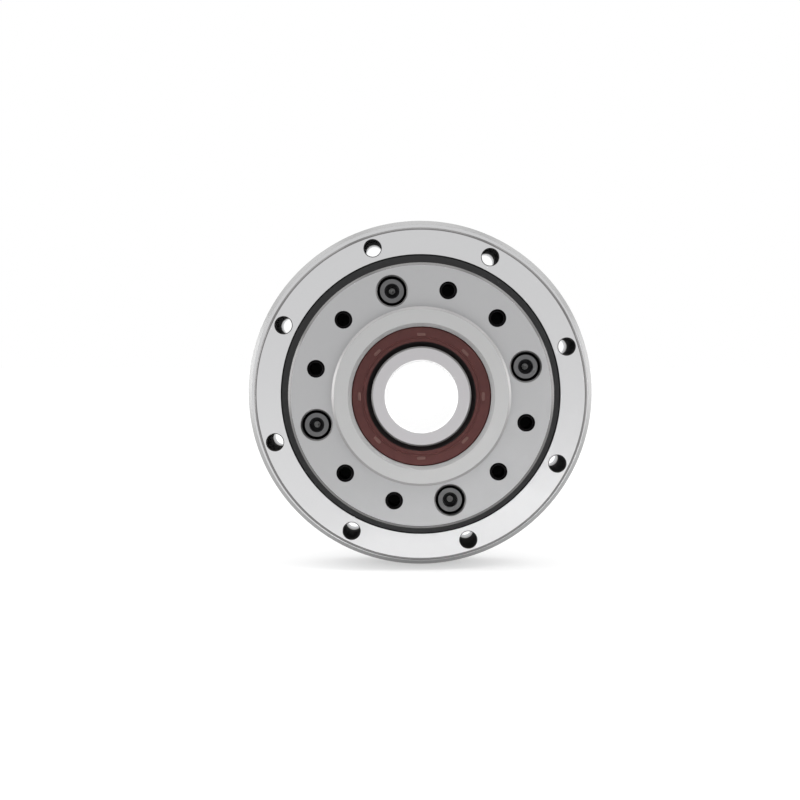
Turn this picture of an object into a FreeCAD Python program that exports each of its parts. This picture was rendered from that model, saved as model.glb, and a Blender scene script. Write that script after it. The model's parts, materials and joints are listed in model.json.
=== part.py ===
import FreeCAD, Part
import math
import os

# A hollow-shaft strain wave gearbox. All sizes are in millimetres and degrees.
# The gear axis is Y. The output end faces -Y, +Z is up, and the origin is on the axis,
# in the front face of the outer ring. A station is a place along Y, a radius is from the axis.
# An angle is measured from +X towards +Z.

# Fits
SEAT_GAP = 0.01            # radial gap of a pressed seat
THREAD_GAP = 0.02          # radial gap of a screw in its thread
RUNNING_GAP = 0.05         # gap between pieces that roll or slide on each other
EDGE_BREAK = 0.3           # chamfer on turned edges
SAME_PLACE = 0.000001      # closer than this counts as the same place

# Hollow input shaft
SHAFT_BORE_D = 14.0
SHAFT_WALL = 3.0
SHAFT_SHOULDER = 1.0       # step that each support bearing stands against
SHAFT_TAIL = 7.5           # length beyond the input cover
SHAFT_TAIL_STEP = 0.5      # the tail is slimmer than the seal's journal by this
SHAFT_TAIL_SPACE = 0.3     # the step stands this far outside the cover
CAM_WALL = 1.5             # mean height of the oval cam over the shaft
CAM_COLLAR = 0.9           # step behind the cam that stops the flexible bearing
CAM_COLLAR_WIDTH = 1.2

# Support ball bearings, one at each end of the shaft
BEARING_RACE_WALL = 1.8
BEARING_RING_GAP = 2.4     # between the inner and the outer race
BEARING_WIDTH = 7.0
BEARING_BALL_D = 3.5
BEARING_BALL_COUNT = 11
BEARING_CAGE_WALL = 1.0
BEARING_CAGE_WIDTH = 5.4
POCKET_GAP = 0.1           # between a ball and its cage pocket

# Circlips on the shaft
CIRCLIP_THICKNESS = 0.8
CIRCLIP_GROOVE_DEPTH = 0.5
CIRCLIP_BAND = 1.6         # radial width of the ring
CIRCLIP_LUG_R = 1.0
CIRCLIP_LUG_HOLE_R = 0.45
CIRCLIP_OPENING = 34.0     # angle between the lugs
CIRCLIP_OPENING_AT = 90.0  # the opening is at the top

# Shaft seals
SEAL_SECTION = 4.0         # radial height between shaft and pocket
SEAL_WIDTH = 3.6
SEAL_RECESS = 0.8          # depth of the seal's face below the rim of its pocket
SEAL_MOUTH_CHAMFER = 0.7   # bevel round the pocket's mouth
SEAL_LIP_WINDOW = 0.9      # open ring between shaft and seal face
SEAL_SKIN = 0.5            # rubber over the steel case
SEAL_CASE_SHEET = 0.45
SEAL_SPRING_D = 0.8
SEAL_SPRING_DEPTH = 2.35   # its middle behind the seal's face
SEAL_LIP_DEPTH = 2.5       # the lip's edge behind the seal's face
SEAL_NOSE_INSET = 0.35     # the lip ends this far inside the seal's back
SEAL_BEAD_HEIGHT = 0.12    # ridge moulded round the face
SEAL_SHOULDER = 1.0        # wall between seal pocket and bearing seat
SEAL_SHOULDER_HEIGHT = 0.8

# Output flange, which is also the inner ring of the crossed roller bearing
OUTPUT_PROUD = 8.0         # bolting face in front of the outer ring
BOSS_HEIGHT = 4.0
BOSS_WALL = 2.0            # pilot boss outside the bearing seat
BOSS_CHAMFER = 0.5
OUTPUT_CHAMFER = 0.5
OUTPUT_RIM = 2.0           # wall outside the screw counterbores
COUNTERBORE_LAND = 1.0     # wall between boss and counterbores
BEARING_ENTRY_GAP = 0.3    # bore behind the bearing seat, wider by this
OUTPUT_HOLE_COUNT = 12
OUTPUT_SCREW_COUNT = 4     # evenly spread over those holes, the others are tapped
OUTPUT_HOLE_START = 15.6
OUTPUT_TAP_D = 3.0
OUTPUT_TAP_DEPTH = 6.0
OUTPUT_TAP_CHAMFER = 0.25

# Screws that hold the circular spline to the output flange
OUTPUT_SCREW_D = 3.0
OUTPUT_SCREW_LENGTH = 16.0
OUTPUT_SCREW_HEAD_D = 5.5
OUTPUT_SCREW_HEAD_HEIGHT = 3.0
OUTPUT_SCREW_HEX = 2.5
OUTPUT_SCREW_HEX_DEPTH = 1.5
OUTPUT_SCREW_SINK = 0.6    # head below the bolting face
SCREW_CLEARANCE = 0.1      # radial gap in a plain screw hole
HEAD_CLEARANCE = 0.25      # radial gap in a counterbore
COUNTERBORE_CHAMFER = 0.25

# Crossed roller bearing
RACE_GAP = 0.5             # radial gap between output flange and outer ring
ROLLER_D = 2.5
ROLLER_END_GAP = 0.1       # shorter than its diameter by this
ROLLER_COUNT = 40
SPACER_GAP = 0.15          # between a spacer and what surrounds it
RACE_FRONT_LAND = 0.4
RACE_BACK_LAND = 0.8

# Outer ring
RING_SEAL_SECTION = 1.7    # radial depth of the dust seal's pocket
RING_SEAL_WIDTH = 1.6
RING_SEAL_SINK = 0.1       # its face below the ring's front face
RING_SEAL_BEVEL = 0.3      # at both edges of its face
RING_SEAL_LIP = 0.4        # width of the lip at the output flange
RING_SEAL_RELIEF = 0.5     # its back starts this far outside the roller ring's bore
RING_SEAL_WALL = 1.05      # between the seal pocket and the mounting holes
MOUNT_HOLE_D = 3.5
MOUNT_HOLE_COUNT = 8
MOUNT_HOLE_START = 18.2
MOUNT_HOLE_CHAMFER = 0.15
MOUNT_EDGE_WALL = 1.0      # outside the mounting holes at the front
RING_FRONT_LENGTH = 9.0    # slimmer front part of the ring
RIM_STEP = 2.25
RIM_CHAMFER = 0.8

# Roller loading plug and its locking pin, halfway between two mounting holes
PLUG_D = 3.8
PLUG_PIN_D = 1.5
PLUG_PIN_FOOT = 0.6        # the pin's hole goes this far past the plug

# Gear teeth
FLEX_TEETH = 100
RING_TEETH = 102
FLEX_WALL = 0.5            # flexspline wall under its teeth
TOOTH_DEDENDUM = 0.38
TOOTH_ADDENDUM = 0.30
TOOTH_TIP_GAP = 0.10
TOOTH_FLANK_GAP = 0.08
TOOTH_FLANK_ANGLE = 28.0
SPLINE_WIDTH = 6.5         # circular spline along the axis
SPLINE_OUTER_WALL = 3.0    # outside its screw holes
FLEX_TOOTH_INSET = 0.35    # flexspline teeth end this far inside the circular spline

# Flexspline cup and brim
SPLINE_BACK_SPACE = 2.5    # from the circular spline to the brim
BRIM_THICKNESS = 2.0
BRIM_INSET = 0.5           # brim below the rim of the ring
DIAPHRAGM_THICKNESS = 0.6
DIAPHRAGM_BACK_STEP = 0.2
CUP_CORNER = 0.5           # chamfer where cup and diaphragm meet
CUP_STRAIGHT = 0.6         # round part of the cup before the diaphragm

# Flexible ball bearing between cam and flexspline
FLEX_INNER_WALL = 1.7
FLEX_RING_GAP = 2.0
FLEX_OUTER_WALL = 1.37
FLEX_WIDTH = 5.6
FLEX_BALL_D = 2.8
FLEX_BALL_COUNT = 21
FLEX_CAGE_WALL = 1.0
FLEX_CAGE_WIDTH = 4.6

# Input cover
COVER_FLANGE = 3.5
COVER_RECESS = 1.2         # room behind the diaphragm
COVER_RECESS_LAND = 0.6    # the recess is smaller than the brim's inner edge by this
COVER_BEARING_INSET = 2.8
COVER_HUB_WALL = 5.0
COVER_HUB_FILLET = 1.5
COVER_SEAL_RECESS = 0.4
COVER_MOUTH_CHAMFER = 0.3  # bevel round the rear seal's pocket

# Screws that hold cover, flexspline and outer ring together
COVER_SCREW_COUNT = 4
COVER_SCREW_D = 2.5
COVER_SCREW_LENGTH = 10.0
COVER_SCREW_HEAD_D = 4.5
COVER_SCREW_HEAD_HEIGHT = 2.5
COVER_SCREW_HEX = 2.0
COVER_SCREW_HEX_DEPTH = 1.2
COVER_SCREW_SINK = 0.2
COVER_SCREW_RUNOUT = 0.8   # its thread is drilled this much deeper

# O-rings on both sides of the brim
O_RING_CORD = 0.8
O_RING_GAP = 0.03          # groove deeper than the cord
O_RING_SIDE_GAP = 0.2
O_RING_WALL = 0.65         # between the ring's bore and the groove

# Radii, from the bore outwards
bore_r = SHAFT_BORE_D / 2
shaft_r = bore_r + SHAFT_WALL
shoulder_r = shaft_r + SHAFT_SHOULDER
bearing_r = shaft_r + 2 * BEARING_RACE_WALL + BEARING_RING_GAP
ball_circle_r = shaft_r + BEARING_RACE_WALL + BEARING_RING_GAP / 2
seal_r = shaft_r + SEAL_SECTION
seal_stop_r = seal_r - SEAL_SHOULDER_HEIGHT
boss_r = bearing_r + BOSS_WALL
counterbore_r = OUTPUT_SCREW_HEAD_D / 2 + HEAD_CLEARANCE
output_circle_r = boss_r + COUNTERBORE_LAND + counterbore_r
output_r = output_circle_r + counterbore_r + OUTPUT_RIM
ring_bore_r = output_r + RACE_GAP
roller_circle_r = output_r + RACE_GAP / 2
ring_seal_r = ring_bore_r + RING_SEAL_SECTION
mount_circle_r = ring_seal_r + RING_SEAL_WALL + MOUNT_HOLE_D / 2
ring_front_r = mount_circle_r + MOUNT_HOLE_D / 2 + MOUNT_EDGE_WALL
rim_r = ring_front_r + RIM_STEP
hub_r = bearing_r + COVER_HUB_WALL
spline_r = output_circle_r + OUTPUT_SCREW_D / 2 + SPLINE_OUTER_WALL

# Oval radii are means: the cam adds the deflection along X and takes it off along Z
cam_r = shaft_r + CAM_WALL
flex_inner_r = cam_r + FLEX_INNER_WALL
flex_ball_r = flex_inner_r + FLEX_RING_GAP / 2
flex_outer_bore_r = flex_inner_r + FLEX_RING_GAP
flex_bearing_r = flex_outer_bore_r + FLEX_OUTER_WALL
cup_bore_r = flex_bearing_r + RUNNING_GAP
cup_r = cup_bore_r + FLEX_WALL
flex_pitch_r = cup_r + TOOTH_DEDENDUM
ring_pitch_r = flex_pitch_r * RING_TEETH / FLEX_TEETH
deflection = ring_pitch_r - flex_pitch_r
collar_r = cam_r + CAM_COLLAR

# Stations along the axis, from the output end
groove_reach = (ROLLER_D / 2 + RUNNING_GAP) * math.sqrt(2)
groove_half = groove_reach - RACE_GAP / 2
output_y = -OUTPUT_PROUD
boss_y = output_y - BOSS_HEIGHT
front_seal_y = boss_y + SEAL_RECESS
front_stop_y = front_seal_y + SEAL_WIDTH
front_bearing_y = front_stop_y + SEAL_SHOULDER
roller_y = RING_SEAL_WIDTH + RACE_FRONT_LAND + groove_half
flange_back_y = roller_y + groove_half + RACE_BACK_LAND
spline_back_y = flange_back_y + SPLINE_WIDTH
cam_y = flange_back_y + (SPLINE_WIDTH - FLEX_WIDTH) / 2
ring_back_y = spline_back_y + SPLINE_BACK_SPACE
cover_y = ring_back_y + BRIM_THICKNESS
flange_y = cover_y + COVER_FLANGE
rear_bearing_y = cover_y + COVER_RECESS + COVER_BEARING_INSET
rear_stop_y = rear_bearing_y + BEARING_WIDTH
rear_seal_y = rear_stop_y + SEAL_SHOULDER
cover_back_y = rear_seal_y + SEAL_WIDTH + COVER_SEAL_RECESS
shaft_back_y = cover_back_y + SHAFT_TAIL
diaphragm_back_y = cover_y - DIAPHRAGM_BACK_STEP
diaphragm_y = diaphragm_back_y - DIAPHRAGM_THICKNESS
brim_bore_r = ring_bore_r + O_RING_WALL
o_ring_r = brim_bore_r + O_RING_SIDE_GAP / 2 + O_RING_CORD / 2

V = FreeCAD.Vector
ORIGIN = V(0, 0, 0)
AXIS = V(0, 1, 0)


# Ways to make a shape

def turned(corners):
    """A solid turned about the gear axis from (radius, station) corners."""
    points = [V(radius, station, 0) for radius, station in corners]
    points.append(points[0])
    return Part.Face(Part.makePolygon(points)).revolve(ORIGIN, AXIS, 360)


def cylinder(radius, start, stop, at=ORIGIN):
    """A round bar along the axis between two stations, centred on the point at."""
    return Part.makeCylinder(radius, stop - start, V(at.x, start, at.z), AXIS)


def cone_mouth(radius, chamfer, station, inward, at=ORIGIN):
    """The cut that chamfers a hole's mouth. inward is 1 or -1, the way into the hole."""
    return Part.makeCone(radius + chamfer, radius, chamfer, V(at.x, station, at.z), AXIS * inward)


def around(radius, angle):
    """The point at a radius and angle in the plane of the origin."""
    turn = math.radians(angle)
    return V(radius * math.cos(turn), 0, radius * math.sin(turn))


def steps(count, start=0.0):
    """Angles evenly spaced round the axis."""
    return [start + 360.0 * index / count for index in range(count)]


def turn_about_axis(shape, angle):
    """A copy of a shape turned about the gear axis, positive from +X to +Z."""
    copy = shape.copy()
    copy.rotate(ORIGIN, AXIS, -angle)
    return copy


def oval(mean_r, station):
    """An oval with the cam's deflection, long axis along X."""
    centre = V(0, station, 0)
    long_end = V(mean_r + deflection, station, 0)
    short_end = V(0, station, mean_r - deflection)
    return Part.Wire([Part.Ellipse(long_end, short_end, centre).toShape()])


def circle(radius, station):
    """A circle about the gear axis."""
    return Part.Wire([Part.Circle(V(0, station, 0), AXIS, radius).toShape()])


def oval_bar(mean_r, start, stop):
    """A solid oval bar along the axis."""
    return Part.Face(oval(mean_r, start)).extrude(V(0, stop - start, 0))


def oval_ring(outer_r, inner_r, start, stop):
    """An oval ring along the axis."""
    return oval_bar(outer_r, start, stop).cut(oval_bar(inner_r, start, stop))


def oval_groove(mean_r, section_r, station):
    """A round section carried along an oval, to cut a ball track."""
    begin = V(mean_r + deflection, station, 0)
    section = Part.Wire([Part.Circle(begin, V(0, 0, 1), section_r).toShape()])
    return oval(mean_r, station).makePipeShell([section], True, False)


def outline_bar(points, start, stop):
    """A bar along the axis from a closed outline of (x, z) points."""
    corners = [V(x, start, z) for x, z in points]
    corners.append(corners[0])
    return Part.Face(Part.makePolygon(corners)).extrude(V(0, stop - start, 0))


def cap_screw(size, length, head_d, head_height, hex_size, hex_depth):
    """A socket head screw. Its head's top is at the origin and it points along +Y."""
    rim = head_d / 2 - EDGE_BREAK
    tip = size / 2 - EDGE_BREAK
    end = head_height + length
    body = turned([
        (0, 0), (rim, 0), (head_d / 2, EDGE_BREAK), (head_d / 2, head_height),
        (size / 2, head_height), (size / 2, end - EDGE_BREAK), (tip, end), (0, end)])
    corner_r = hex_size / math.sqrt(3)
    corners = [around(corner_r, angle) for angle in steps(6)]
    socket = outline_bar([(point.x, point.z) for point in corners], 0, hex_depth)
    drill_point = Part.makeCone(hex_size / 2, 0, hex_size / 4, V(0, hex_depth, 0), AXIS)
    return body.cut(socket).cut(drill_point)


def tooth_corners(centre_r, place, lean, low, high, low_half, high_half):
    """Four (x, z) corners of one straight-flanked tooth.

    The tooth's pitch point is at centre_r and the angle place, and it points along the angle lean.
    low and high are heights over the pitch point, with half the tooth's width at each.
    """
    base_x = centre_r * math.cos(place)
    base_z = centre_r * math.sin(place)
    corners = [(low, -low_half), (high, -high_half), (high, high_half), (low, low_half)]
    return [
        (base_x + height * math.cos(lean) - side * math.sin(lean),
         base_z + height * math.sin(lean) + side * math.cos(lean))
        for height, side in corners]


def o_ring_groove(face_y, inward):
    """The cut for an O-ring in a flat face."""
    depth = O_RING_CORD + O_RING_GAP
    outer = o_ring_r + O_RING_CORD / 2 + O_RING_SIDE_GAP / 2
    bottom = face_y + inward * depth
    return turned([(brim_bore_r, face_y), (outer, face_y), (outer, bottom), (brim_bore_r, bottom)])


def o_ring(face_y, inward):
    """An O-ring lying in its groove, its crown at the groove's mouth."""
    centre_y = face_y + inward * (O_RING_CORD + O_RING_GAP) / 2
    return Part.makeTorus(o_ring_r, O_RING_CORD / 2, V(0, centre_y, 0), AXIS)


def mount_holes(radius):
    """The mounting holes right through the stack."""
    return [cylinder(radius, output_y, cover_back_y, around(mount_circle_r, angle))
            for angle in steps(MOUNT_HOLE_COUNT, MOUNT_HOLE_START)]


def mount_mouths(station, inward):
    """Chamfers on the mounting holes in one face."""
    return [cone_mouth(MOUNT_HOLE_D / 2, MOUNT_HOLE_CHAMFER, station, inward,
                       around(mount_circle_r, angle))
            for angle in steps(MOUNT_HOLE_COUNT, MOUNT_HOLE_START)]


def between_mounts():
    """The angle of the first gap between mounting holes."""
    return MOUNT_HOLE_START + 180.0 / MOUNT_HOLE_COUNT


def cover_screw_places():
    """Screws stand halfway between mounting holes."""
    return [around(mount_circle_r, angle) for angle in steps(COVER_SCREW_COUNT, between_mounts())]


def output_screw_angles():
    """The holes of the output circle that take a screw."""
    holes_per_screw = OUTPUT_HOLE_COUNT // OUTPUT_SCREW_COUNT
    return steps(OUTPUT_HOLE_COUNT, OUTPUT_HOLE_START)[::holes_per_screw]


def output_tap_angles():
    """The other holes of the output circle are tapped."""
    screws = output_screw_angles()
    return [angle for angle in steps(OUTPUT_HOLE_COUNT, OUTPUT_HOLE_START) if angle not in screws]


def seal_pocket_corners(rim_y, seat_y, inward, bevel):
    """Corners of a shaft seal's pocket from its bevelled rim to its shoulder. inward is 1 or -1."""
    return [
        (seal_r + bevel, rim_y),
        (seal_r, rim_y + inward * bevel),
        (seal_r, seat_y),
        (seal_stop_r, seat_y),
        (seal_stop_r, seat_y + inward * SEAL_SHOULDER),
        (bearing_r, seat_y + inward * SEAL_SHOULDER)]


# Housing

def outer_ring_blank():
    """The turned outer ring with its roller groove, before drilling."""
    race_r = roller_circle_r + groove_reach
    return turned([
        (ring_seal_r, 0),
        (ring_front_r - EDGE_BREAK, 0), (ring_front_r, EDGE_BREAK),
        (ring_front_r, RING_FRONT_LENGTH), (rim_r - RIM_CHAMFER, RING_FRONT_LENGTH),
        (rim_r, RING_FRONT_LENGTH + RIM_CHAMFER), (rim_r, ring_back_y),
        (ring_bore_r, ring_back_y), (ring_bore_r, roller_y + groove_half),
        (race_r, roller_y), (ring_bore_r, roller_y - groove_half),
        (ring_bore_r, RING_SEAL_WIDTH), (ring_seal_r, RING_SEAL_WIDTH)])


def radial_bar(radius, angle, station):
    """A round bar along a radius, from the roller circle to outside the rim."""
    way = around(1, angle)
    start = V(way.x * output_r, station, way.z * output_r)
    return Part.makeCylinder(radius, rim_r - output_r, start, way)


def plug_angle():
    """The loading plug stands in a gap between mounting holes that holds no screw."""
    return between_mounts() + 360.0 / MOUNT_HOLE_COUNT


def plug_pin_bar(radius):
    """The locking pin's bar, from the ring's back face through the plug."""
    pin_place = around(mount_circle_r, plug_angle())
    foot = roller_y - PLUG_D / 2 + PLUG_PIN_FOOT
    return cylinder(radius, foot, ring_back_y, pin_place)


def outer_ring():
    ring = outer_ring_blank()
    cuts = mount_holes(MOUNT_HOLE_D / 2) + mount_mouths(0, 1)
    thread_depth = COVER_SCREW_LENGTH - cover_screw_grip() + COVER_SCREW_RUNOUT
    for place in cover_screw_places():
        cuts.append(cylinder(COVER_SCREW_D / 2 + THREAD_GAP, ring_back_y - thread_depth,
                             ring_back_y, place))
    cuts.append(radial_bar(PLUG_D / 2, plug_angle(), roller_y))
    cuts.append(plug_pin_bar(PLUG_PIN_D / 2))
    cuts.append(o_ring_groove(ring_back_y, -1))
    return ring.cut(cuts)


def roller_loading_plug():
    """Closes the hole the rollers went in by. Its inner end carries on the roller groove."""
    plug = outer_ring_blank().common(radial_bar(PLUG_D / 2 - SEAT_GAP, plug_angle(), roller_y))
    return plug.cut(plug_pin_bar(PLUG_PIN_D / 2))


def loading_plug_pin():
    return plug_pin_bar(PLUG_PIN_D / 2 - SEAT_GAP)


def ring_dust_seal():
    """Rubber ring in the outer ring's front pocket with a lip towards the output flange."""
    outer = ring_seal_r - SEAT_GAP
    lip = output_r + RUNNING_GAP
    back = RING_SEAL_WIDTH - SEAT_GAP
    body = ring_bore_r + RING_SEAL_RELIEF
    lip_y = RING_SEAL_SINK + RING_SEAL_BEVEL
    lip_end_y = lip_y + RING_SEAL_LIP
    return turned([
        (lip, lip_y), (lip + RING_SEAL_BEVEL, RING_SEAL_SINK), (outer - RING_SEAL_BEVEL, RING_SEAL_SINK),
        (outer, lip_y), (outer, back), (body, back),
        (body - RING_SEAL_BEVEL, lip_end_y + RING_SEAL_BEVEL), (lip, lip_end_y)])


def flexspline():
    """Thin toothed cup, oval at its teeth and round at the diaphragm and brim.

    The bent wall keeps its length: a tooth moves round by half the wave that lifts it,
    and leans by three halves of it.
    """
    tooth_y = flange_back_y + FLEX_TOOTH_INSET
    tooth_end_y = spline_back_y - FLEX_TOOTH_INSET
    round_y = diaphragm_y - CUP_STRAIGHT
    pitch = 2 * math.pi * flex_pitch_r / FLEX_TEETH
    half = pitch / 4 - TOOTH_FLANK_GAP / 2
    slope = math.tan(math.radians(TOOTH_FLANK_ANGLE))
    strain = deflection / flex_pitch_r
    outline = []
    for index in range(FLEX_TEETH):
        turn = 2 * math.pi * index / FLEX_TEETH
        wave = math.sin(2 * turn)
        centre_r = flex_pitch_r + deflection * math.cos(2 * turn)
        outline += tooth_corners(
            centre_r, turn - strain / 2 * wave, turn + strain * 3 / 2 * wave,
            -TOOTH_DEDENDUM, TOOTH_ADDENDUM,
            half + TOOTH_DEDENDUM * slope, half - TOOTH_ADDENDUM * slope)
    toothed = outline_bar(outline, tooth_y, tooth_end_y).cut(oval_bar(cup_bore_r, tooth_y, tooth_end_y))
    outside = Part.makeLoft([oval(cup_r, tooth_end_y), circle(cup_r, round_y)], True)
    inside = Part.makeLoft([oval(cup_bore_r, tooth_end_y), circle(cup_bore_r, round_y)], True)
    wall = outside.cut(inside)
    brim_r = rim_r - BRIM_INSET
    brim = turned([
        (cup_bore_r, round_y), (cup_r, round_y),
        (cup_r, diaphragm_y - CUP_CORNER), (cup_r + CUP_CORNER, diaphragm_y),
        (brim_bore_r, diaphragm_y), (brim_bore_r, ring_back_y),
        (brim_r, ring_back_y), (brim_r, cover_y),
        (brim_bore_r, cover_y), (brim_bore_r, diaphragm_back_y),
        (cup_bore_r + CUP_CORNER, diaphragm_back_y), (cup_bore_r, diaphragm_back_y - CUP_CORNER)])
    holes = mount_holes(MOUNT_HOLE_D / 2)
    for place in cover_screw_places():
        holes.append(cylinder(COVER_SCREW_D / 2 + SCREW_CLEARANCE, ring_back_y, cover_y, place))
    return toothed.fuse([wall, brim.cut(holes)]).removeSplitter()


def cover_screw_grip():
    """Length of a cover screw's shank from under its head to the outer ring."""
    return cover_head_y() - ring_back_y


def cover_head_y():
    """The seat under the cover screws' heads."""
    return flange_y - COVER_SCREW_SINK - COVER_SCREW_HEAD_HEIGHT


def input_cover():
    pocket = seal_pocket_corners(cover_back_y, rear_seal_y, -1, COVER_MOUTH_CHAMFER)
    recess_r = brim_bore_r - COVER_RECESS_LAND
    inner_y = cover_y + COVER_RECESS
    cover = turned([
        (recess_r, cover_y), (rim_r - EDGE_BREAK, cover_y), (rim_r, cover_y + EDGE_BREAK),
        (rim_r, flange_y - EDGE_BREAK), (rim_r - EDGE_BREAK, flange_y),
        (hub_r, flange_y), (hub_r, cover_back_y - BOSS_CHAMFER),
        (hub_r - BOSS_CHAMFER, cover_back_y)] + pocket + [
        (bearing_r, inner_y), (recess_r, inner_y)])
    corner = [edge for edge in cover.Edges
              if abs(edge.BoundBox.YMin - flange_y) < SAME_PLACE
              and abs(edge.BoundBox.YMax - flange_y) < SAME_PLACE
              and abs(edge.BoundBox.XMax - hub_r) < SAME_PLACE]
    cover = cover.makeFillet(COVER_HUB_FILLET, corner)
    cuts = mount_holes(MOUNT_HOLE_D / 2) + mount_mouths(flange_y, -1)
    head_r = COVER_SCREW_HEAD_D / 2 + HEAD_CLEARANCE
    for place in cover_screw_places():
        cuts.append(cylinder(COVER_SCREW_D / 2 + SCREW_CLEARANCE, cover_y, flange_y, place))
        cuts.append(cylinder(head_r, cover_head_y(), flange_y, place))
        cuts.append(cone_mouth(head_r, COUNTERBORE_CHAMFER, flange_y, -1, place))
    cuts.append(o_ring_groove(cover_y, 1))
    return cover.cut(cuts)


def cover_screws():
    screw = cap_screw(COVER_SCREW_D, COVER_SCREW_LENGTH, COVER_SCREW_HEAD_D,
                      COVER_SCREW_HEAD_HEIGHT, COVER_SCREW_HEX, COVER_SCREW_HEX_DEPTH)
    screw.rotate(ORIGIN, V(1, 0, 0), 180)
    group = []
    for place in cover_screw_places():
        copy = screw.copy()
        copy.translate(V(place.x, flange_y - COVER_SCREW_SINK, place.z))
        group.append(copy)
    return Part.makeCompound(group)


# Output

def output_flange():
    """Bolting face, pilot boss, seal pocket, bearing seat and the inner roller groove in one piece."""
    race_r = roller_circle_r - groove_reach
    seat_end_y = front_bearing_y + BEARING_WIDTH
    entry_r = bearing_r + BEARING_ENTRY_GAP
    pocket = seal_pocket_corners(boss_y, front_stop_y, 1, SEAL_MOUTH_CHAMFER)
    flange = turned(pocket + [
        (bearing_r, seat_end_y), (entry_r, seat_end_y + BEARING_ENTRY_GAP), (entry_r, flange_back_y),
        (output_r, flange_back_y), (output_r, roller_y + groove_half), (race_r, roller_y),
        (output_r, roller_y - groove_half), (output_r, output_y + OUTPUT_CHAMFER),
        (output_r - OUTPUT_CHAMFER, output_y), (boss_r, output_y),
        (boss_r, boss_y + BOSS_CHAMFER), (boss_r - BOSS_CHAMFER, boss_y)])
    cuts = []
    for angle in output_tap_angles():
        place = around(output_circle_r, angle)
        cuts.append(cylinder(OUTPUT_TAP_D / 2, output_y, output_y + OUTPUT_TAP_DEPTH, place))
        cuts.append(cone_mouth(OUTPUT_TAP_D / 2, OUTPUT_TAP_CHAMFER, output_y, 1, place))
    for angle in output_screw_angles():
        place = around(output_circle_r, angle)
        cuts.append(cylinder(counterbore_r, output_y, output_head_y(), place))
        cuts.append(cone_mouth(counterbore_r, COUNTERBORE_CHAMFER, output_y, 1, place))
        cuts.append(cylinder(OUTPUT_SCREW_D / 2 + SCREW_CLEARANCE, output_y, flange_back_y, place))
    return flange.cut(cuts)


def output_head_y():
    """The seat under the output screws' heads."""
    return output_y + OUTPUT_SCREW_SINK + OUTPUT_SCREW_HEAD_HEIGHT


def output_screws():
    screw = cap_screw(OUTPUT_SCREW_D, OUTPUT_SCREW_LENGTH, OUTPUT_SCREW_HEAD_D,
                      OUTPUT_SCREW_HEAD_HEIGHT, OUTPUT_SCREW_HEX, OUTPUT_SCREW_HEX_DEPTH)
    group = []
    for angle in output_screw_angles():
        place = around(output_circle_r, angle)
        copy = screw.copy()
        copy.translate(V(place.x, output_y + OUTPUT_SCREW_SINK, place.z))
        group.append(copy)
    return Part.makeCompound(group)


def circular_spline():
    """Rigid ring with inside teeth. A gap between teeth stands at each end of the oval."""
    pitch = 2 * math.pi * ring_pitch_r / RING_TEETH
    half = pitch / 4 - TOOTH_FLANK_GAP / 2
    slope = math.tan(math.radians(TOOTH_FLANK_ANGLE))
    inward = TOOTH_DEDENDUM - TOOTH_TIP_GAP
    outward = TOOTH_ADDENDUM + TOOTH_TIP_GAP
    outline = []
    for index in range(RING_TEETH):
        turn = 2 * math.pi * (index + 0.5) / RING_TEETH
        corners = tooth_corners(ring_pitch_r, turn, turn, outward, -inward,
                                half + outward * slope, half - inward * slope)
        outline += corners
    ring = cylinder(spline_r, flange_back_y, spline_back_y)
    teeth = outline_bar(outline, flange_back_y, spline_back_y)
    holes = [cylinder(OUTPUT_SCREW_D / 2 + THREAD_GAP, flange_back_y, spline_back_y,
                      around(output_circle_r, angle)) for angle in output_screw_angles()]
    return ring.cut([teeth] + holes)


# Crossed rollers

def roller(index, radius, length):
    """One roller at rest. Its axis leans 45 degrees, the other way on every second roller."""
    angle = steps(ROLLER_COUNT)[index]
    side = 1 if index % 2 else -1
    outward = around(1, angle)
    way = V(outward.x, side, outward.z).normalize()
    centre = V(outward.x * roller_circle_r, roller_y, outward.z * roller_circle_r)
    return Part.makeCylinder(radius, length, centre - way * (length / 2), way)


def crossed_rollers():
    length = ROLLER_D - ROLLER_END_GAP
    return Part.makeCompound([roller(index, ROLLER_D / 2, length) for index in range(ROLLER_COUNT)])


def roller_spacers():
    """Blocks in the square tunnel between the rollers, hollowed where a roller runs beside them."""
    side = ROLLER_D - SPACER_GAP
    pitch = 2 * math.pi * roller_circle_r / ROLLER_COUNT
    hollow_r = ROLLER_D / 2 + SPACER_GAP
    group = []
    for index in range(ROLLER_COUNT):
        block = Part.makeBox(side, side, pitch, V(-side / 2, -side / 2, -pitch / 2))
        block.rotate(ORIGIN, V(0, 0, 1), 45)
        block.translate(V(roller_circle_r, roller_y, 0))
        block = turn_about_axis(block, steps(ROLLER_COUNT, 180.0 / ROLLER_COUNT)[index])
        beside = [roller(index, hollow_r, 2 * side), roller((index + 1) % ROLLER_COUNT, hollow_r, 2 * side)]
        group.append(block.cut(beside))
    return Part.makeCompound(group)


# Support bearings

def race(inner_r, outer_r, front_y):
    """One plain bearing race with chamfered edges and its ball track."""
    back_y = front_y + BEARING_WIDTH
    ring = turned([
        (inner_r, front_y + EDGE_BREAK), (inner_r + EDGE_BREAK, front_y),
        (outer_r - EDGE_BREAK, front_y), (outer_r, front_y + EDGE_BREAK),
        (outer_r, back_y - EDGE_BREAK), (outer_r - EDGE_BREAK, back_y),
        (inner_r + EDGE_BREAK, back_y), (inner_r, back_y - EDGE_BREAK)])
    middle = V(0, front_y + BEARING_WIDTH / 2, 0)
    return ring.cut(Part.makeTorus(ball_circle_r, BEARING_BALL_D / 2 + RUNNING_GAP, middle, AXIS))


def bearing_inner_race(front_y):
    return race(shaft_r + SEAT_GAP, shaft_r + BEARING_RACE_WALL, front_y)


def bearing_outer_race(front_y):
    return race(bearing_r - BEARING_RACE_WALL, bearing_r - SEAT_GAP, front_y)


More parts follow.
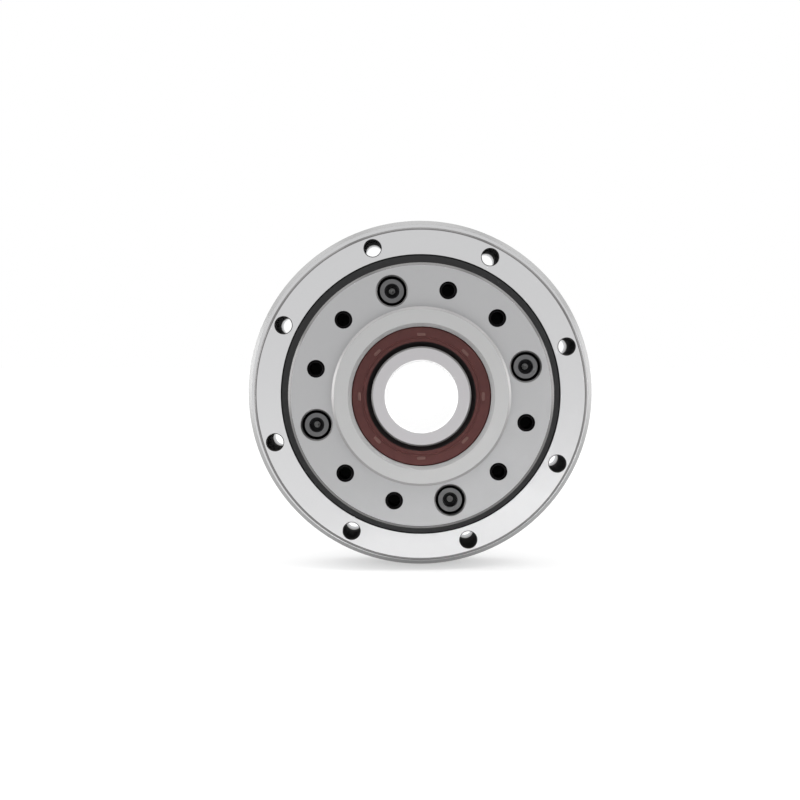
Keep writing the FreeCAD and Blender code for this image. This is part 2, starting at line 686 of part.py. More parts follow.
def ball_places(front_y):
    """Ball centres of a support bearing."""
    middle = V(0, front_y + BEARING_WIDTH / 2, 0)
    return [around(ball_circle_r, angle) + middle for angle in steps(BEARING_BALL_COUNT)]


def bearing_balls(front_y):
    return Part.makeCompound([Part.makeSphere(BEARING_BALL_D / 2, place) for place in ball_places(front_y)])


def bearing_cage(front_y):
    """A moulded ring with a round pocket for each ball."""
    middle = front_y + BEARING_WIDTH / 2
    low_y = middle - BEARING_CAGE_WIDTH / 2
    high_y = middle + BEARING_CAGE_WIDTH / 2
    inner_r = ball_circle_r - BEARING_CAGE_WALL / 2
    outer_r = ball_circle_r + BEARING_CAGE_WALL / 2
    ring = cylinder(outer_r, low_y, high_y).cut(cylinder(inner_r, low_y, high_y))
    pockets = []
    for angle in steps(BEARING_BALL_COUNT):
        way = around(1, angle)
        start = V(way.x * shaft_r, middle, way.z * shaft_r)
        pockets.append(Part.makeCylinder(BEARING_BALL_D / 2 + POCKET_GAP, bearing_r - shaft_r, start, way))
    return ring.cut(pockets)


# Shaft seals

def placed(corners, face_y, inward):
    """Seal corners, given as (radius, depth behind the face), set at a station."""
    return turned([(radius, face_y + inward * depth) for radius, depth in corners])


def seal_spring_r():
    """The garter spring's circle, round the lip."""
    return shaft_r + SEAL_LIP_WINDOW + SEAL_SPRING_D / 2 + SEAL_SKIN


def oil_seal(face_y, inward):
    """Rubber seal body: face, skin over the case, and a lip that runs on the shaft."""
    outer = seal_r - SEAT_GAP
    window = shaft_r + SEAL_LIP_WINDOW
    lip = shaft_r + RUNNING_GAP
    case_r = outer - SEAL_SKIN
    root = window + 2 * SEAL_SKIN
    spring_seat = seal_spring_r() - SEAL_SPRING_D / 2 - RUNNING_GAP
    bead = window + SEAL_LIP_WINDOW
    flange_depth = SEAL_SKIN + SEAL_CASE_SHEET
    return placed([
        (window, SEAL_SKIN / 3), (window + SEAL_SKIN / 3, 0),
        (bead - SEAL_SKIN / 3, 0), (bead - SEAL_SKIN / 6, -SEAL_BEAD_HEIGHT),
        (bead + SEAL_SKIN / 6, -SEAL_BEAD_HEIGHT), (bead + SEAL_SKIN / 3, 0),
        (outer - SEAL_SKIN / 2, 0), (outer, SEAL_SKIN / 2),
        (outer, SEAL_WIDTH), (case_r, SEAL_WIDTH),
        (case_r, SEAL_SKIN), (root, SEAL_SKIN), (root, flange_depth),
        (spring_seat, flange_depth + SEAL_SKIN), (spring_seat, SEAL_SPRING_DEPTH + SEAL_SKIN),
        (window - SEAL_SKIN / 2, SEAL_WIDTH - SEAL_NOSE_INSET), (lip, SEAL_LIP_DEPTH),
        (window, flange_depth + SEAL_SKIN / 2)], face_y, inward)


def seal_case(face_y, inward):
    """Pressed steel angle that stiffens the seal."""
    outer = seal_r - SEAT_GAP - SEAL_SKIN
    root = shaft_r + SEAL_LIP_WINDOW + 2 * SEAL_SKIN
    flange_depth = SEAL_SKIN + SEAL_CASE_SHEET
    end = SEAL_WIDTH - SEAL_CASE_SHEET
    return placed([
        (root, SEAL_SKIN), (outer, SEAL_SKIN), (outer, end), (outer - SEAL_CASE_SHEET, end),
        (outer - SEAL_CASE_SHEET, flange_depth), (root, flange_depth)], face_y, inward)


def seal_spring(face_y, inward):
    """Garter spring that presses the lip on the shaft."""
    centre = V(0, face_y + inward * SEAL_SPRING_DEPTH, 0)
    return Part.makeTorus(seal_spring_r(), SEAL_SPRING_D / 2, centre, AXIS)


# Input shaft and wave generator

def circlip_stations():
    """The low side of each circlip, one outside each support bearing."""
    return front_bearing_y - CIRCLIP_THICKNESS, rear_stop_y


def input_shaft():
    """Hollow shaft with bearing journals, circlip grooves and the oval cam in one piece."""
    cam_end_y = cam_y + FLEX_WIDTH
    front_end = front_bearing_y + BEARING_WIDTH
    tail_r = shaft_r - SHAFT_TAIL_STEP
    step_y = cover_back_y + SHAFT_TAIL_SPACE
    body = turned([
        (bore_r + EDGE_BREAK, boss_y), (shaft_r - EDGE_BREAK, boss_y), (shaft_r, boss_y + EDGE_BREAK),
        (shaft_r, front_end), (shoulder_r, front_end), (shoulder_r, cam_end_y),
        (collar_r, cam_end_y), (collar_r, cam_end_y + CAM_COLLAR_WIDTH),
        (shoulder_r, cam_end_y + CAM_COLLAR_WIDTH), (shoulder_r, rear_bearing_y),
        (shaft_r, rear_bearing_y), (shaft_r, step_y), (tail_r, step_y),
        (tail_r, shaft_back_y - EDGE_BREAK), (tail_r - EDGE_BREAK, shaft_back_y),
        (bore_r + EDGE_BREAK, shaft_back_y),
        (bore_r, shaft_back_y - EDGE_BREAK), (bore_r, boss_y + EDGE_BREAK)])
    cam = oval_bar(cam_r, cam_y, cam_end_y).cut(cylinder(shaft_r, cam_y, cam_end_y))
    groove_r = shaft_r - CIRCLIP_GROOVE_DEPTH
    grooves = []
    for low_y in circlip_stations():
        high_y = low_y + CIRCLIP_THICKNESS
        grooves.append(cylinder(2 * shaft_r, low_y, high_y).cut(cylinder(groove_r, low_y, high_y)))
    return body.fuse(cam).cut(grooves).removeSplitter()


def circlip(low_y):
    """Spring ring in a shaft groove, open between two drilled lugs."""
    high_y = low_y + CIRCLIP_THICKNESS
    inner_r = shaft_r - CIRCLIP_GROOVE_DEPTH + SEAT_GAP
    outer_r = inner_r + CIRCLIP_BAND
    ring = cylinder(outer_r, low_y, high_y).cut(cylinder(inner_r, low_y, high_y))
    lug_angles = (CIRCLIP_OPENING_AT - CIRCLIP_OPENING / 2, CIRCLIP_OPENING_AT + CIRCLIP_OPENING / 2)
    wedge_r = 2 * outer_r
    ends = [around(wedge_r, angle) for angle in lug_angles]
    wedge = [(0, 0)] + [(end.x, end.z) for end in ends]
    ring = ring.cut(outline_bar(wedge, low_y, high_y))
    lug_r = shaft_r + SEAT_GAP + CIRCLIP_LUG_R
    for angle in lug_angles:
        place = around(lug_r, angle)
        lug = cylinder(CIRCLIP_LUG_R, low_y, high_y, place)
        ring = ring.fuse(lug).cut(cylinder(CIRCLIP_LUG_HOLE_R, low_y, high_y, place))
    return ring.removeSplitter()


def flex_inner_race():
    ring = oval_ring(flex_inner_r, cam_r + SEAT_GAP, cam_y, cam_y + FLEX_WIDTH)
    return ring.cut(oval_groove(flex_ball_r, FLEX_BALL_D / 2 + RUNNING_GAP, flex_middle_y()))


def flex_outer_race():
    ring = oval_ring(flex_bearing_r, flex_outer_bore_r, cam_y, cam_y + FLEX_WIDTH)
    return ring.cut(oval_groove(flex_ball_r, FLEX_BALL_D / 2 + RUNNING_GAP, flex_middle_y()))


def flex_middle_y():
    """The plane of the flexible bearing's balls."""
    return cam_y + FLEX_WIDTH / 2


def flex_ball_places():
    """Ball centres on the oval ball circle."""
    places = []
    for angle in steps(FLEX_BALL_COUNT):
        turn = math.radians(angle)
        places.append(V((flex_ball_r + deflection) * math.cos(turn), flex_middle_y(),
                        (flex_ball_r - deflection) * math.sin(turn)))
    return places


def flex_balls():
    return Part.makeCompound([Part.makeSphere(FLEX_BALL_D / 2, place) for place in flex_ball_places()])


def flex_cage():
    """A thin moulded ring that keeps the balls apart and bends with the races."""
    low_y = flex_middle_y() - FLEX_CAGE_WIDTH / 2
    high_y = flex_middle_y() + FLEX_CAGE_WIDTH / 2
    ring = oval_ring(flex_ball_r + FLEX_CAGE_WALL / 2, flex_ball_r - FLEX_CAGE_WALL / 2, low_y, high_y)
    pockets = []
    for place in flex_ball_places():
        way = V(place.x, 0, place.z).normalize()
        start = place - way * FLEX_BALL_D
        pockets.append(Part.makeCylinder(FLEX_BALL_D / 2 + POCKET_GAP, 2 * FLEX_BALL_D, start, way))
    return ring.cut(pockets)


front_circlip_y, rear_circlip_y = circlip_stations()
nodes = {
    "outer_ring": outer_ring(),
    "roller_loading_plug": roller_loading_plug(),
    "loading_plug_pin": loading_plug_pin(),
    "ring_dust_seal": ring_dust_seal(),
    "flexspline": flexspline(),
    "input_cover": input_cover(),
    "cover_screws": cover_screws(),
    "brim_front_o_ring": o_ring(ring_back_y, -1),
    "brim_rear_o_ring": o_ring(cover_y, 1),
    "output_flange": output_flange(),
    "output_screws": output_screws(),
    "circular_spline": circular_spline(),
    "crossed_rollers": crossed_rollers(),
    "roller_spacers": roller_spacers(),
    "input_shaft": input_shaft(),
    "front_circlip": circlip(front_circlip_y),
    "rear_circlip": circlip(rear_circlip_y),
    "flex_inner_race": flex_inner_race(),
    "flex_outer_race": flex_outer_race(),
    "flex_balls": flex_balls(),
    "flex_cage": flex_cage(),
    "front_oil_seal": oil_seal(front_seal_y, 1),
    "front_seal_case": seal_case(front_seal_y, 1),
    "front_seal_spring": seal_spring(front_seal_y, 1),
    "rear_oil_seal": oil_seal(rear_seal_y + SEAL_WIDTH, -1),
    "rear_seal_case": seal_case(rear_seal_y + SEAL_WIDTH, -1),
    "rear_seal_spring": seal_spring(rear_seal_y + SEAL_WIDTH, -1),
}
for end, station in (("front", front_bearing_y), ("rear", rear_bearing_y)):
    nodes[end + "_bearing_inner_race"] = bearing_inner_race(station)
    nodes[end + "_bearing_outer_race"] = bearing_outer_race(station)
    nodes[end + "_bearing_balls"] = bearing_balls(station)
    nodes[end + "_bearing_cage"] = bearing_cage(station)

os.makedirs("parts", exist_ok=True)
for name, shape in nodes.items():
    shape.exportStep("parts/" + name + ".step")
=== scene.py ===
"""Dresses the hollow-shaft strain wave gearbox.

It gives each piece its finish, adds cut threads and seal marks, and sets up studio and camera.
"""

import json
import math

import bpy
import numpy as np
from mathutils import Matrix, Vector


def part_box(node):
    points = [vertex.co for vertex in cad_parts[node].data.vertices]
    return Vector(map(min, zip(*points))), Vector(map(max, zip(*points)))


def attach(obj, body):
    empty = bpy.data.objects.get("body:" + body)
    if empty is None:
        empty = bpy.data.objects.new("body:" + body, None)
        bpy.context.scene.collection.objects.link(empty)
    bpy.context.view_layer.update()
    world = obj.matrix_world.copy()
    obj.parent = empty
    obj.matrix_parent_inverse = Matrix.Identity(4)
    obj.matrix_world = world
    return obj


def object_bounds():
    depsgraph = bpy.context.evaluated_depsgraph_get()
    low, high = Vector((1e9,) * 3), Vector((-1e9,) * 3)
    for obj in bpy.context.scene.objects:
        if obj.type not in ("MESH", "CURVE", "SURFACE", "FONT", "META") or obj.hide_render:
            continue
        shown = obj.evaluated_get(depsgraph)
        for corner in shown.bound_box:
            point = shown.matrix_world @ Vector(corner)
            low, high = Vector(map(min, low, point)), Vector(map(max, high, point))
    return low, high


MM = 0.001

# Places on the gearbox, in millimetres and degrees. Angles go from +X towards +Z.
BOSS_R = 18.0
BOSS_HEIGHT = 4.0
BORE_R = 7.0
TAP_CIRCLE_R = 22.0
TAP_HOLE_COUNT = 12
TAP_HOLE_START = 15.6
TAP_MOUTH_R = 1.78         # its chamfer is painted dark as well, as painted shade
TAP_MAJOR_R = 1.49         # just inside the drilled wall
TAP_MINOR_R = 1.25
TAP_ROOT_WALL = 0.02       # left between thread root and drilled wall
TAP_PITCH = 0.5
TAP_MOUTH_DEPTH = 0.26     # the thread starts below the chamfer
TAP_DEPTH = 5.9
SCREW_COUNT = 4            # every third hole of that circle takes a screw
SCREW_TOP_R = 2.38         # flat top of a screw head
SCREW_SOCKET_R = 1.5       # painted shade in the socket round its hexagon
SCREW_DRILL_POINT_R = 0.6  # painted highlight on the cone at the socket's bottom
COUNTERBORE_R = 3.0
COUNTERBORE_CHAMFER = 0.25
MOUNT_CIRCLE_R = 32.0
MOUNT_HOLE_COUNT = 8
MOUNT_HOLE_START = 18.2
MOUNT_MOUTH_R = 1.88       # its chamfer is painted dark as well, as painted shade
RING_FRONT_R = 34.75
RIM_R = 37.0
RIM_FRONT_Y = 9.0
RIM_CHAMFER = 0.8
OUTPUT_R = 27.0
OUTPUT_CHAMFER = 0.5       # on the flange and on its boss
SEAL_POCKET_R = 14.0
SEAL_MOUTH_CHAMFER = 0.7
SHAFT_R = 10.0
EDGE_BREAK = 0.3           # small broken edges of ring and shaft
RING_EDGE_SHADE = 0.5       # painted shade line on the ring's broken edge and just beside it
SEAL_LIP_R = 10.95         # the dust lip lies inside this radius, and is painted dark there as shade
SEAL_BEAD_HEIGHT = 0.12
SEAL_MARK_CIRCLE_R = 12.4
SEAL_MARK_COUNT = 8
SEAL_MARK_LENGTH = 1.7
SEAL_MARK_WIDTH = 0.65
SEAL_MARK_HEIGHT = 0.08
SEAL_MARK_FOOT = 0.05      # depth of a mark's foot in the rubber
SEAL_MARK_SQUARENESS = 5   # power of the curve round a mark: 2 gives an oval, more a squarer one
FINISH_REACH = 0.03        # the finish of a hole or an edge reaches this far past it

# How rough the steel finishes are. The dulling of a surface is added to the roughness of its piece.
GROUND_ROUGHNESS = 0.2
RIM_BEVEL_ROUGHNESS = 0.35
RING_SIDE_DULLING = 0.22
TURNED_ROUGHNESS = 0.4
FLANGE_EDGE_ROUGHNESS = 0.26
SEAL_MOUTH_DULLING = 0.25
SHAFT_ROUGHNESS = 0.28
BORE_ROUGHNESS = 0.1
BORE_MOUTH_DULLING = 0.3
DRILLED_ROUGHNESS = 0.85
SIDE_NORMAL_LIMIT = 0.5    # a turned side's normal leans less than this along the axis

# The photograph's view. The picture is square, and pixels are its own.
PICTURE_SIZE = 800
FOCAL_PX = 1358.0
AXIS_VANISHES_AT = (403.85, 349.4)
CAMERA_DISTANCE = 283.0    # in front of the outer ring's face
CAMERA_LEFT = 3.5
CAMERA_UP = 9.4
CAMERA_CLIP = (10.0, 20000.0)
SENSOR_WIDTH = 36.0

# The paper floor and its lift to white, by distance from the gearbox's foot; the lift dips there, a painted
# shadow
FLOOR_HALF = 3000.0
FLOOR_FOOT_Y = 12.0
FLOOR_FADE_ALONG = 2.0     # times faster along the gear axis than across it, for the near lift
FLOOR_NEAR = (2.0, 27.0)   # where the near lift starts and ends; it is lower towards the foot, a painted shadow
FLOOR_NEAR_LIFT = (0.42, 0.6)
FLOOR_FAR = (60.0, 220.0)  # where the far lift starts and ends
FLOOR_FAR_LIFT = (0.0, 0.06)

# What the large lamps look at, just before the output
LAMP_AIM = (0, -15, 0)

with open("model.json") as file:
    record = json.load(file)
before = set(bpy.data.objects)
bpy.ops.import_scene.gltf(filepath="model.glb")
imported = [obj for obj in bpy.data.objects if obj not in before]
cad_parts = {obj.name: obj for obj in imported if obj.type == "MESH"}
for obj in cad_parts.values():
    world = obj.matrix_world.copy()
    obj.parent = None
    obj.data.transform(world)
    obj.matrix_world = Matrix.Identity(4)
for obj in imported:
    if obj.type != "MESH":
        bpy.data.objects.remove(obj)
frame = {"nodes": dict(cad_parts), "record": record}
cad_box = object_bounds()
nodes = frame["nodes"]
boss_face_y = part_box("output_flange")[0].y / MM
output_face_y = boss_face_y + BOSS_HEIGHT
floor_z = cad_box[0].z


# Colours and nodes

def srgb(code):
    """A hex colour such as "B0B0B0" as linear red, green, blue and alpha."""
    values = np.array([int(code[i:i + 2], 16) for i in (0, 2, 4)]) / 255
    linear = np.where(values <= 0.04045, values / 12.92, ((values + 0.055) / 1.055) ** 2.4)
    return (*linear.tolist(), 1.0)


def add(tree, kind, feeds=(), **settings):
    """Adds one shader node and returns its outputs.

    feeds is a list for the first inputs or a dict by input name. A feed is a plain value or an output.
    """
    node = tree.nodes.new("ShaderNode" + kind)
    for name, value in settings.items():
        setattr(node, name, value)
    for socket, value in feeds.items() if isinstance(feeds, dict) else enumerate(feeds):
        if isinstance(value, bpy.types.NodeSocket):
            tree.links.new(value, node.inputs[socket])
        else:
            node.inputs[socket].default_value = value
    return node.outputs


def new_material(name, roughness=0.5, metallic=0.0):
    """A material with a Principled shader. Returns the material, its node tree and the shader's inputs."""
    material = bpy.data.materials.new(name)
    material.use_nodes = True
    inputs = material.node_tree.nodes["Principled BSDF"].inputs
    inputs["Roughness"].default_value = roughness
    inputs["Metallic"].default_value = metallic
    return material, material.node_tree, inputs


def layered(tree, colour, *layers):
    """Colours laid over a first one. A layer is its mask and the colour that shows where the mask is 1."""
    for mask, cover in layers:
        feeds = {"Factor": mask, "A": colour, "B": cover}
        colour = add(tree, "Mix", feeds, data_type="RGBA")["Result"]
    return colour


def axis_places(tree):
    """Radius from the gear axis, station along it and angle round it, in metres and radians."""
    place = add(tree, "TexCoord")["Object"]
    x, y, z = add(tree, "SeparateXYZ", [place])
    off_axis = add(tree, "VectorMath", [place, (1, 0, 1)], operation="MULTIPLY")[0]
    radius = add(tree, "VectorMath", [off_axis], operation="LENGTH")["Value"]
    angle = add(tree, "Math", [z, x], operation="ARCTAN2")[0]
    return radius, y, angle


def within_holes(tree, places, circle_r, count, start, hole_r):
    """1 inside round holes on a circle, 0 elsewhere.

    The angle is folded into one hole's own sector, so that one distance serves all the holes. Two whole
    turns are added first, so that no angle is below zero.
    """
    radius, _, angle = places
    turned = add(tree, "Math", [angle, 4 * math.pi - math.radians(start)], operation="ADD")[0]
    folded = add(tree, "Math", [turned, math.pi / count], operation="PINGPONG")[0]
    cosine = add(tree, "Math", [folded], operation="COSINE")[0]
    sine = add(tree, "Math", [folded], operation="SINE")[0]
    along = add(tree, "Math", [radius, cosine, -circle_r * MM], operation="MULTIPLY_ADD")[0]
    across = add(tree, "Math", [radius, sine], operation="MULTIPLY")[0]
    offset = add(tree, "CombineXYZ", [along, across])[0]
    distance = add(tree, "VectorMath", [offset], operation="LENGTH")["Value"]
    return add(tree, "Math", [distance, (hole_r + FINISH_REACH) * MM], operation="LESS_THAN")[0]


def edge_band(tree, places, inner_r, outer_r, end_y):
    """1 on a bevelled edge, 0 elsewhere. The edge lies between two radii and in front of a station.

    All three are in millimetres.
    """
    radius, station, _ = places
    middle = (inner_r + outer_r) / 2 * MM
    reach = ((outer_r - inner_r) / 2 + FINISH_REACH) * MM
    across = add(tree, "Math", [radius, middle, reach], operation="COMPARE")[0]
    ahead = add(tree, "Math", [station, (end_y + FINISH_REACH) * MM], operation="LESS_THAN")[0]
    return add(tree, "Math", [across, ahead], operation="MULTIPLY")[0]


def turned_sides(tree):
    """1 on cylinders round the gear axis, whose normals lie across it. 0 on faces and bevels."""
    facing = add(tree, "SeparateXYZ", [add(tree, "TexCoord")["Normal"]])["Y"]
    return add(tree, "Math", [facing, 0.0, SIDE_NORMAL_LIMIT], operation="COMPARE")[0]


def drilled_walls(tree, inputs, mask, roughness):
    """Where mask is 1, drilled walls lose the metal's gleam and turn as dull as dry soot and oil."""
    gleam = add(tree, "Math", [1.0, mask], operation="SUBTRACT")[0]
    tree.links.new(gleam, inputs["Metallic"])
    dull = add(tree, "MapRange", {"Value": mask, "To Min": roughness, "To Max": DRILLED_ROUGHNESS})[0]
    tree.links.new(dull, inputs["Roughness"])


def turning_marks(tree, places, inputs, spacing, depth):
    """Fine rings left by the turning tool, as bump. spacing and depth are in millimetres.

    They follow radius less station, which stays the same up a front bevel, so these bevels are smooth.
    """
    radius, station, _ = places
    track = add(tree, "Math", [radius, station], operation="SUBTRACT")[0]
    track = add(tree, "Math", [track, 1 / (spacing * MM)], operation="MULTIPLY")[0]
    rings = add(tree, "TexNoise", {"W": track, "Scale": 1.0, "Detail": 2.0}, noise_dimensions="1D")[0]
    bump = add(tree, "Bump", {"Height": rings, "Distance": depth * MM})[0]
    tree.links.new(bump, inputs["Normal"])


# Finishes

def ground_ring_steel():
    """Hardened bearing steel with ground faces: bright satin that mirrors broad shapes.

    Its turned sides and the rim's bevel are greyer and duller. Drilled holes are painted near black, as
    painted shade in them, and the broken front edge with a band just beside it is painted grey, a painted
    shade line at the step.
    """
    material, tree, inputs = new_material("ground_ring_steel")
    places = axis_places(tree)
    holes = within_holes(tree, places, MOUNT_CIRCLE_R, MOUNT_HOLE_COUNT, MOUNT_HOLE_START, MOUNT_MOUTH_R)
    edge = edge_band(tree, places, RING_FRONT_R - RING_EDGE_SHADE, RING_FRONT_R, EDGE_BREAK)
    rim = edge_band(tree, places, RIM_R - RIM_CHAMFER, RIM_R, RIM_FRONT_Y + RIM_CHAMFER)
    side = turned_sides(tree)
    # Painted shade: drilled holes near black, and a grey band on the broken front edge for the shade at the
    # step.
    colour = layered(tree, srgb("CACACB"), (side, srgb("A0A0A1")), (rim, srgb("A2A2A2")),
                     (edge, srgb("787777")), (holes, srgb("262424")))
    tree.links.new(colour, inputs["Base Color"])
    spans = {"Value": rim, "To Min": GROUND_ROUGHNESS, "To Max": RIM_BEVEL_ROUGHNESS}
    satin = add(tree, "MapRange", spans)[0]
    satin = add(tree, "Math", [side, RING_SIDE_DULLING, satin], operation="MULTIPLY_ADD")[0]
    drilled_walls(tree, inputs, holes, satin)
    turning_marks(tree, places, inputs, spacing=0.35, depth=0.0003)
    return material


def turned_flange_steel():
    """Fine turned alloy steel, duller than the ground ring. The boss is finished lighter.

    The sides are greyer. The outer bevel, the boss bevel and the counterbore mouths are painted darker grey
    all round, painted shade for the dark reflections on their lower parts, and drilled holes are painted
    near black, as painted shade in them.
    """
    material, tree, inputs = new_material("turned_flange_steel")
    places = axis_places(tree)
    taps = within_holes(tree, places, TAP_CIRCLE_R, TAP_HOLE_COUNT, TAP_HOLE_START, TAP_MOUTH_R)
    sink_mouth_r = COUNTERBORE_R + COUNTERBORE_CHAMFER
    sinks = within_holes(tree, places, TAP_CIRCLE_R, SCREW_COUNT, TAP_HOLE_START, sink_mouth_r)
    mouths_end = (output_face_y + COUNTERBORE_CHAMFER) * MM
    deep = add(tree, "Math", [places[1], mouths_end], operation="GREATER_THAN")[0]
    sink_walls = add(tree, "Math", [sinks, deep], operation="MULTIPLY")[0]
    holes = add(tree, "Math", [taps, sink_walls], operation="MAXIMUM")[0]
    walls = add(tree, "Math", [holes, deep], operation="MULTIPLY")[0]
    boss = add(tree, "Math", [places[0], BOSS_R * MM], operation="LESS_THAN")[0]
    side = turned_sides(tree)
    edge = edge_band(tree, places, OUTPUT_R - OUTPUT_CHAMFER, OUTPUT_R, output_face_y + OUTPUT_CHAMFER)
    boss_edge = edge_band(tree, places, BOSS_R - OUTPUT_CHAMFER, BOSS_R, boss_face_y + OUTPUT_CHAMFER)
    mouth_r = SEAL_POCKET_R + SEAL_MOUTH_CHAMFER
    mouth = edge_band(tree, places, SEAL_POCKET_R, mouth_r, boss_face_y + SEAL_MOUTH_CHAMFER)
    # Painted shade: bevels and counterbore mouths greyer all round, and holes near black.
    dark = add(tree, "Math", [edge, sinks], operation="MAXIMUM")[0]
    colour = layered(tree, srgb("ABABAC"), (boss, srgb("B4B4B4")), (side, srgb("909091")),
                     (dark, srgb("706F6F")), (boss_edge, srgb("939292")), (mouth, srgb("AAAAAA")),
                     (holes, srgb("111011")))
    tree.links.new(colour, inputs["Base Color"])
    spans = {"Value": edge, "To Min": TURNED_ROUGHNESS, "To Max": FLANGE_EDGE_ROUGHNESS}
    roughness = add(tree, "MapRange", spans)[0]
    roughness = add(tree, "Math", [mouth, SEAL_MOUTH_DULLING, roughness], operation="MULTIPLY_ADD")[0]
    drilled_walls(tree, inputs, walls, roughness)
    turning_marks(tree, places, inputs, spacing=0.35, depth=0.0005)
    return material


def ground_shaft_steel():
    """Ground tool steel shaft. Its outer edge is painted grey, a painted shade, and its honed bore and mouth
    are painted near white, a painted reflection of the backdrop that they also mirror.
    """
    material, tree, inputs = new_material("ground_shaft_steel", metallic=1.0)
    places = axis_places(tree)
    bore = add(tree, "Math", [places[0], (BORE_R + FINISH_REACH) * MM], operation="LESS_THAN")[0]
    mouth = edge_band(tree, places, BORE_R, BORE_R + EDGE_BREAK, boss_face_y + EDGE_BREAK)
    edge = edge_band(tree, places, SHAFT_R - EDGE_BREAK, SHAFT_R, boss_face_y + EDGE_BREAK)
    bright = add(tree, "Math", [bore, mouth], operation="MAXIMUM")[0]
    # Painted shade on the grey outer edge; painted reflection on the near-white bore and its mouth.
    colour = layered(tree, srgb("B7B5B7"), (edge, srgb("7A7979")), (bright, srgb("FCFCFC")))
    tree.links.new(colour, inputs["Base Color"])
    spans = {"Value": bore, "To Min": SHAFT_ROUGHNESS, "To Max": BORE_ROUGHNESS}
    roughness = add(tree, "MapRange", spans)[0]
    roughness = add(tree, "Math", [mouth, BORE_MOUTH_DULLING, roughness], operation="MULTIPLY_ADD")[0]
    tree.links.new(roughness, inputs["Roughness"])
    turning_marks(tree, places, inputs, spacing=0.3, depth=0.0003)
    return material


def turned_aluminium():
    """Bare aluminium cover with the tool's fine rings. Its drilled holes are as bright as its faces."""
    material, tree, inputs = new_material("turned_aluminium", roughness=0.36, metallic=1.0)
    inputs["Base Color"].default_value = srgb("B4B5B8")
    turning_marks(tree, axis_places(tree), inputs, spacing=0.4, depth=0.0006)
    return material


def plain_metal(name, code, roughness):
    """A metal with one colour all over."""
    material, _, inputs = new_material(name, roughness, metallic=1.0)
    inputs["Base Color"].default_value = srgb(code)
    return material


def black_oxide_steel():
    """Blackened screw steel with a low oily sheen. Flat tops of the output screws are rubbed grey."""
    material, tree, inputs = new_material("black_oxide_steel", roughness=0.4, metallic=1.0)
    places = axis_places(tree)
    circle = (TAP_CIRCLE_R, SCREW_COUNT, TAP_HOLE_START)
    top = within_holes(tree, places, *circle, SCREW_TOP_R)
    socket = within_holes(tree, places, *circle, SCREW_SOCKET_R)
    point = within_holes(tree, places, *circle, SCREW_DRILL_POINT_R)
    walls = add(tree, "Math", [socket, point], operation="SUBTRACT")[0]
    place = add(tree, "TexCoord")["Object"]
    grain_size = 0.3
    grain = add(tree, "TexNoise", {"Vector": place, "Scale": 1 / (grain_size * MM), "Detail": 3.0})[0]
    rubbed = layered(tree, srgb("5C5C5D"), (grain, srgb("6B6B6C")))
    # Painted shade on the socket walls, and a painted highlight on the drill point at the socket's bottom.
    colour = layered(tree, srgb("232324"), (top, rubbed), (walls, srgb("1E1E1F")), (point, srgb("929292")))
    tree.links.new(colour, inputs["Base Color"])
    return material


def rubbed_brown_rubber():
    """Raised marks on the brown seal, rubbed paler than the face round them."""
    material, _, inputs = new_material("rubbed_brown_rubber", roughness=0.55)
    inputs["Base Color"].default_value = srgb("5F3D38")
    return material


def brown_fluoroelastomer():
    """Moulded brown seal rubber, slightly cloudy. Its dust lip at the shaft is painted near black, as
    painted shade in the recess where it lies.
    """
    material, tree, inputs = new_material("brown_fluoroelastomer", roughness=0.45)
    radius, _, _ = axis_places(tree)
    place = add(tree, "TexCoord")["Object"]
    cloud_size = 1.6
    cloud = add(tree, "TexNoise", {"Vector": place, "Scale": 1 / (cloud_size * MM), "Detail": 4.0})[0]
    inputs["Specular IOR Level"].default_value = 0.25
    lip = add(tree, "Math", [radius, SEAL_LIP_R * MM], operation="LESS_THAN")[0]
    # The dust lip is painted near black, painted shade in its recess.
    colour = layered(tree, srgb("482524"), (cloud, srgb("57302D")), (lip, srgb("383434")))
    tree.links.new(colour, inputs["Base Color"])
    return material


def black_nitrile():
    """Moulded black rubber: dull, with a faint bloom."""
    material, tree, inputs = new_material("black_nitrile", roughness=0.5)
    inputs["Specular IOR Level"].default_value = 0.34
    place = add(tree, "TexCoord")["Object"]
    bloom_size = 0.8
    bloom = add(tree, "TexNoise", {"Vector": place, "Scale": 1 / (bloom_size * MM), "Detail": 4.0})[0]
    colour = layered(tree, srgb("1C1C1D"), (bloom, srgb("2A2A2B")))
    tree.links.new(colour, inputs["Base Color"])
    return material


def moulded_polyamide():
    """Natural polyamide cages: cream with a dull gloss."""
    material, _, inputs = new_material("moulded_polyamide", roughness=0.45)
    inputs["Base Color"].default_value = srgb("D9CDA9")
    return material


finishes = {
    "ground_ring_steel": ground_ring_steel(),
    "ground_flange_steel": turned_flange_steel(),
    "ground_shaft_steel": ground_shaft_steel(),
    "gear_steel": plain_metal("shot_peened_gear_steel", "9C9B9A", 0.42),
    "bearing_steel": plain_metal("polished_bearing_steel", "CFCFD1", 0.14),
    "turned_aluminium": turned_aluminium(),
    "black_oxide_steel": black_oxide_steel(),
    "spring_steel": plain_metal("oiled_spring_steel", "6E6C69", 0.35),
    "brown_fluoroelastomer": brown_fluoroelastomer(),
    "black_nitrile": black_nitrile(),
    "cage_polyamide": moulded_polyamide(),
}
for part in frame["record"]["subparts"]:
    shown_mesh = nodes[part["node"]].data
    shown_mesh.materials.clear()
    shown_mesh.materials.append(finishes[part["material_slot"]])


# New pieces

def make_piece(name, points, faces, body, material):
    """A smooth mesh piece from points in millimetres, riding on a body."""
    mesh = bpy.data.meshes.new(name)
    mesh.from_pydata((points * MM).tolist(), [], faces)
    mesh.polygons.foreach_set("use_smooth", [True] * len(mesh.polygons))
    mesh.materials.append(material)
    mesh.validate()
    shown = bpy.data.objects.new(name, mesh)
    bpy.context.collection.objects.link(shown)
    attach(shown, body)
    return shown


